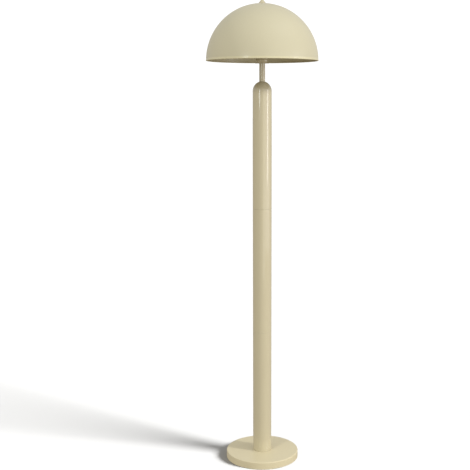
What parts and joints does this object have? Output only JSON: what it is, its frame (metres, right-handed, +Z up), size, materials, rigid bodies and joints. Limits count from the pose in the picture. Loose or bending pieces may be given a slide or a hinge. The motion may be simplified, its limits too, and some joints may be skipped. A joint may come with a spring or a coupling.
{
  "type": "floor lamp",
  "caption": "Floor lamp: half-sphere metal shade on a wire harp, thin neck, thick round column and round weighted base, all in cream paint.",
  "frame": {"origin": "middle of the base on the floor", "axes": "+Z up along the column, front at -Y, lead inlet at the back at +Y"},
  "size_m": [0.3573, 0.3574, 1.5086],
  "materials": {
    "cream_paint": "gloss paint",
    "pad_foam": "closed-cell foam",
    "cast_iron": "sand cast",
    "zinc_steel": "zinc plated",
    "nickel_wire": "nickel plated",
    "brass": "plain",
    "nylon": "moulded",
    "phenolic": "moulded",
    "fibre": "pressed fibre",
    "lead_sheath": "flexible vinyl",
    "soft_washer": "soft",
    "bulb_white": "moulded",
    "bulb_frost": "frosted",
    "bulb_metal": "pressed",
    "bulb_glass": "fused",
    "light_board": "white coated"
  },
  "bodies": {
    "stand": {"base_pad": "pad_foam", "base_weight": "cast_iron", "base_cover": "cream_paint", "foot_screws": "zinc_steel", "foot_lock_washers": "zinc_steel", "cord_bushing": "nylon", "foot_plug": "zinc_steel", "lower_tube": "cream_paint", "lower_joint_plug": "zinc_steel", "lower_joint_nipple": "zinc_steel", "middle_foot_plug": "zinc_steel", "middle_tube": "cream_paint", "middle_joint_plug": "zinc_steel", "upper_joint_nipple": "zinc_steel", "upper_foot_plug": "zinc_steel", "upper_tube": "cream_paint", "joint_nuts": "zinc_steel", "neck_tube": "cream_paint", "check_ring": "cream_paint", "lamp_pipe": "zinc_steel", "neck_washer": "zinc_steel", "neck_nut": "zinc_steel", "harp_saddle": "cream_paint", "harp_wire": "nickel_wire", "harp_head": "nickel_wire", "socket_cap": "cream_paint", "socket_body": "phenolic", "socket_liner": "fibre", "socket_shell": "cream_paint", "screw_shell": "brass", "centre_contact": "brass", "terminal_screws": "brass", "internal_lead": "lead_sheath", "shade_cushion": "soft_washer"},
    "left_ferrule": {"left_ferrule": "nickel_wire"},
    "right_ferrule": {"right_ferrule": "nickel_wire"},
    "switch": {"switch_spindle": "brass", "switch_knob": "phenolic"},
    "bulb_tip": {"bulb_contact": "bulb_metal"},
    "bulb": {"bulb_insulator": "bulb_glass", "bulb_cap": "bulb_metal", "bulb_housing": "bulb_white", "bulb_board": "light_board", "bulb_globe": "bulb_frost"},
    "shade": {"shade": "cream_paint"},
    "finial_ring": {"finial_washer": "cream_paint"},
    "finial": {"finial": "cream_paint"}
  },
  "joints": [
    {"name": "left_ferrule_slide", "type": "slide", "parent": "stand", "child": "left_ferrule", "axis": [0, 0, 1], "range_m": [0, 0.015]},
    {"name": "right_ferrule_slide", "type": "slide", "parent": "stand", "child": "right_ferrule", "axis": [0, 0, 1], "range_m": [0, 0.015]},
    {"name": "switch_turn", "type": "hinge", "parent": "stand", "child": "switch", "pos_m": [0, -0.0215, 1.33398], "axis": [0, -1, 0], "continuous": true},
    {"name": "bulb_rise", "type": "slide", "parent": "stand", "child": "bulb_tip", "axis": [0, 0, 1], "range_m": [0, 0.0182]},
    {"name": "bulb_turn", "type": "hinge", "parent": "bulb_tip", "child": "bulb", "pos_m": [0, 0, 1.34498], "axis": [0, 0, 1], "range_deg": [0, 1800]},
    {"name": "shade_lift", "type": "slide", "parent": "stand", "child": "shade", "axis": [0, 0, 1], "range_m": [0, 0.19]},
    {"name": "finial_rise", "type": "slide", "parent": "shade", "child": "finial_ring", "axis": [0, 0, 1], "range_m": [0, 0.0066]},
    {"name": "finial_turn", "type": "hinge", "parent": "finial_ring", "child": "finial", "pos_m": [0, 0, 1.49338], "axis": [0, 0, 1], "range_deg": [0, 2520]}
  ],
  "couplings": [
    {"joint": "bulb_rise", "follows": "bulb_turn", "m_per_rad": 0.00057773},
    {"joint": "finial_rise", "follows": "finial_turn", "m_per_rad": 0.00014972}
  ]
}
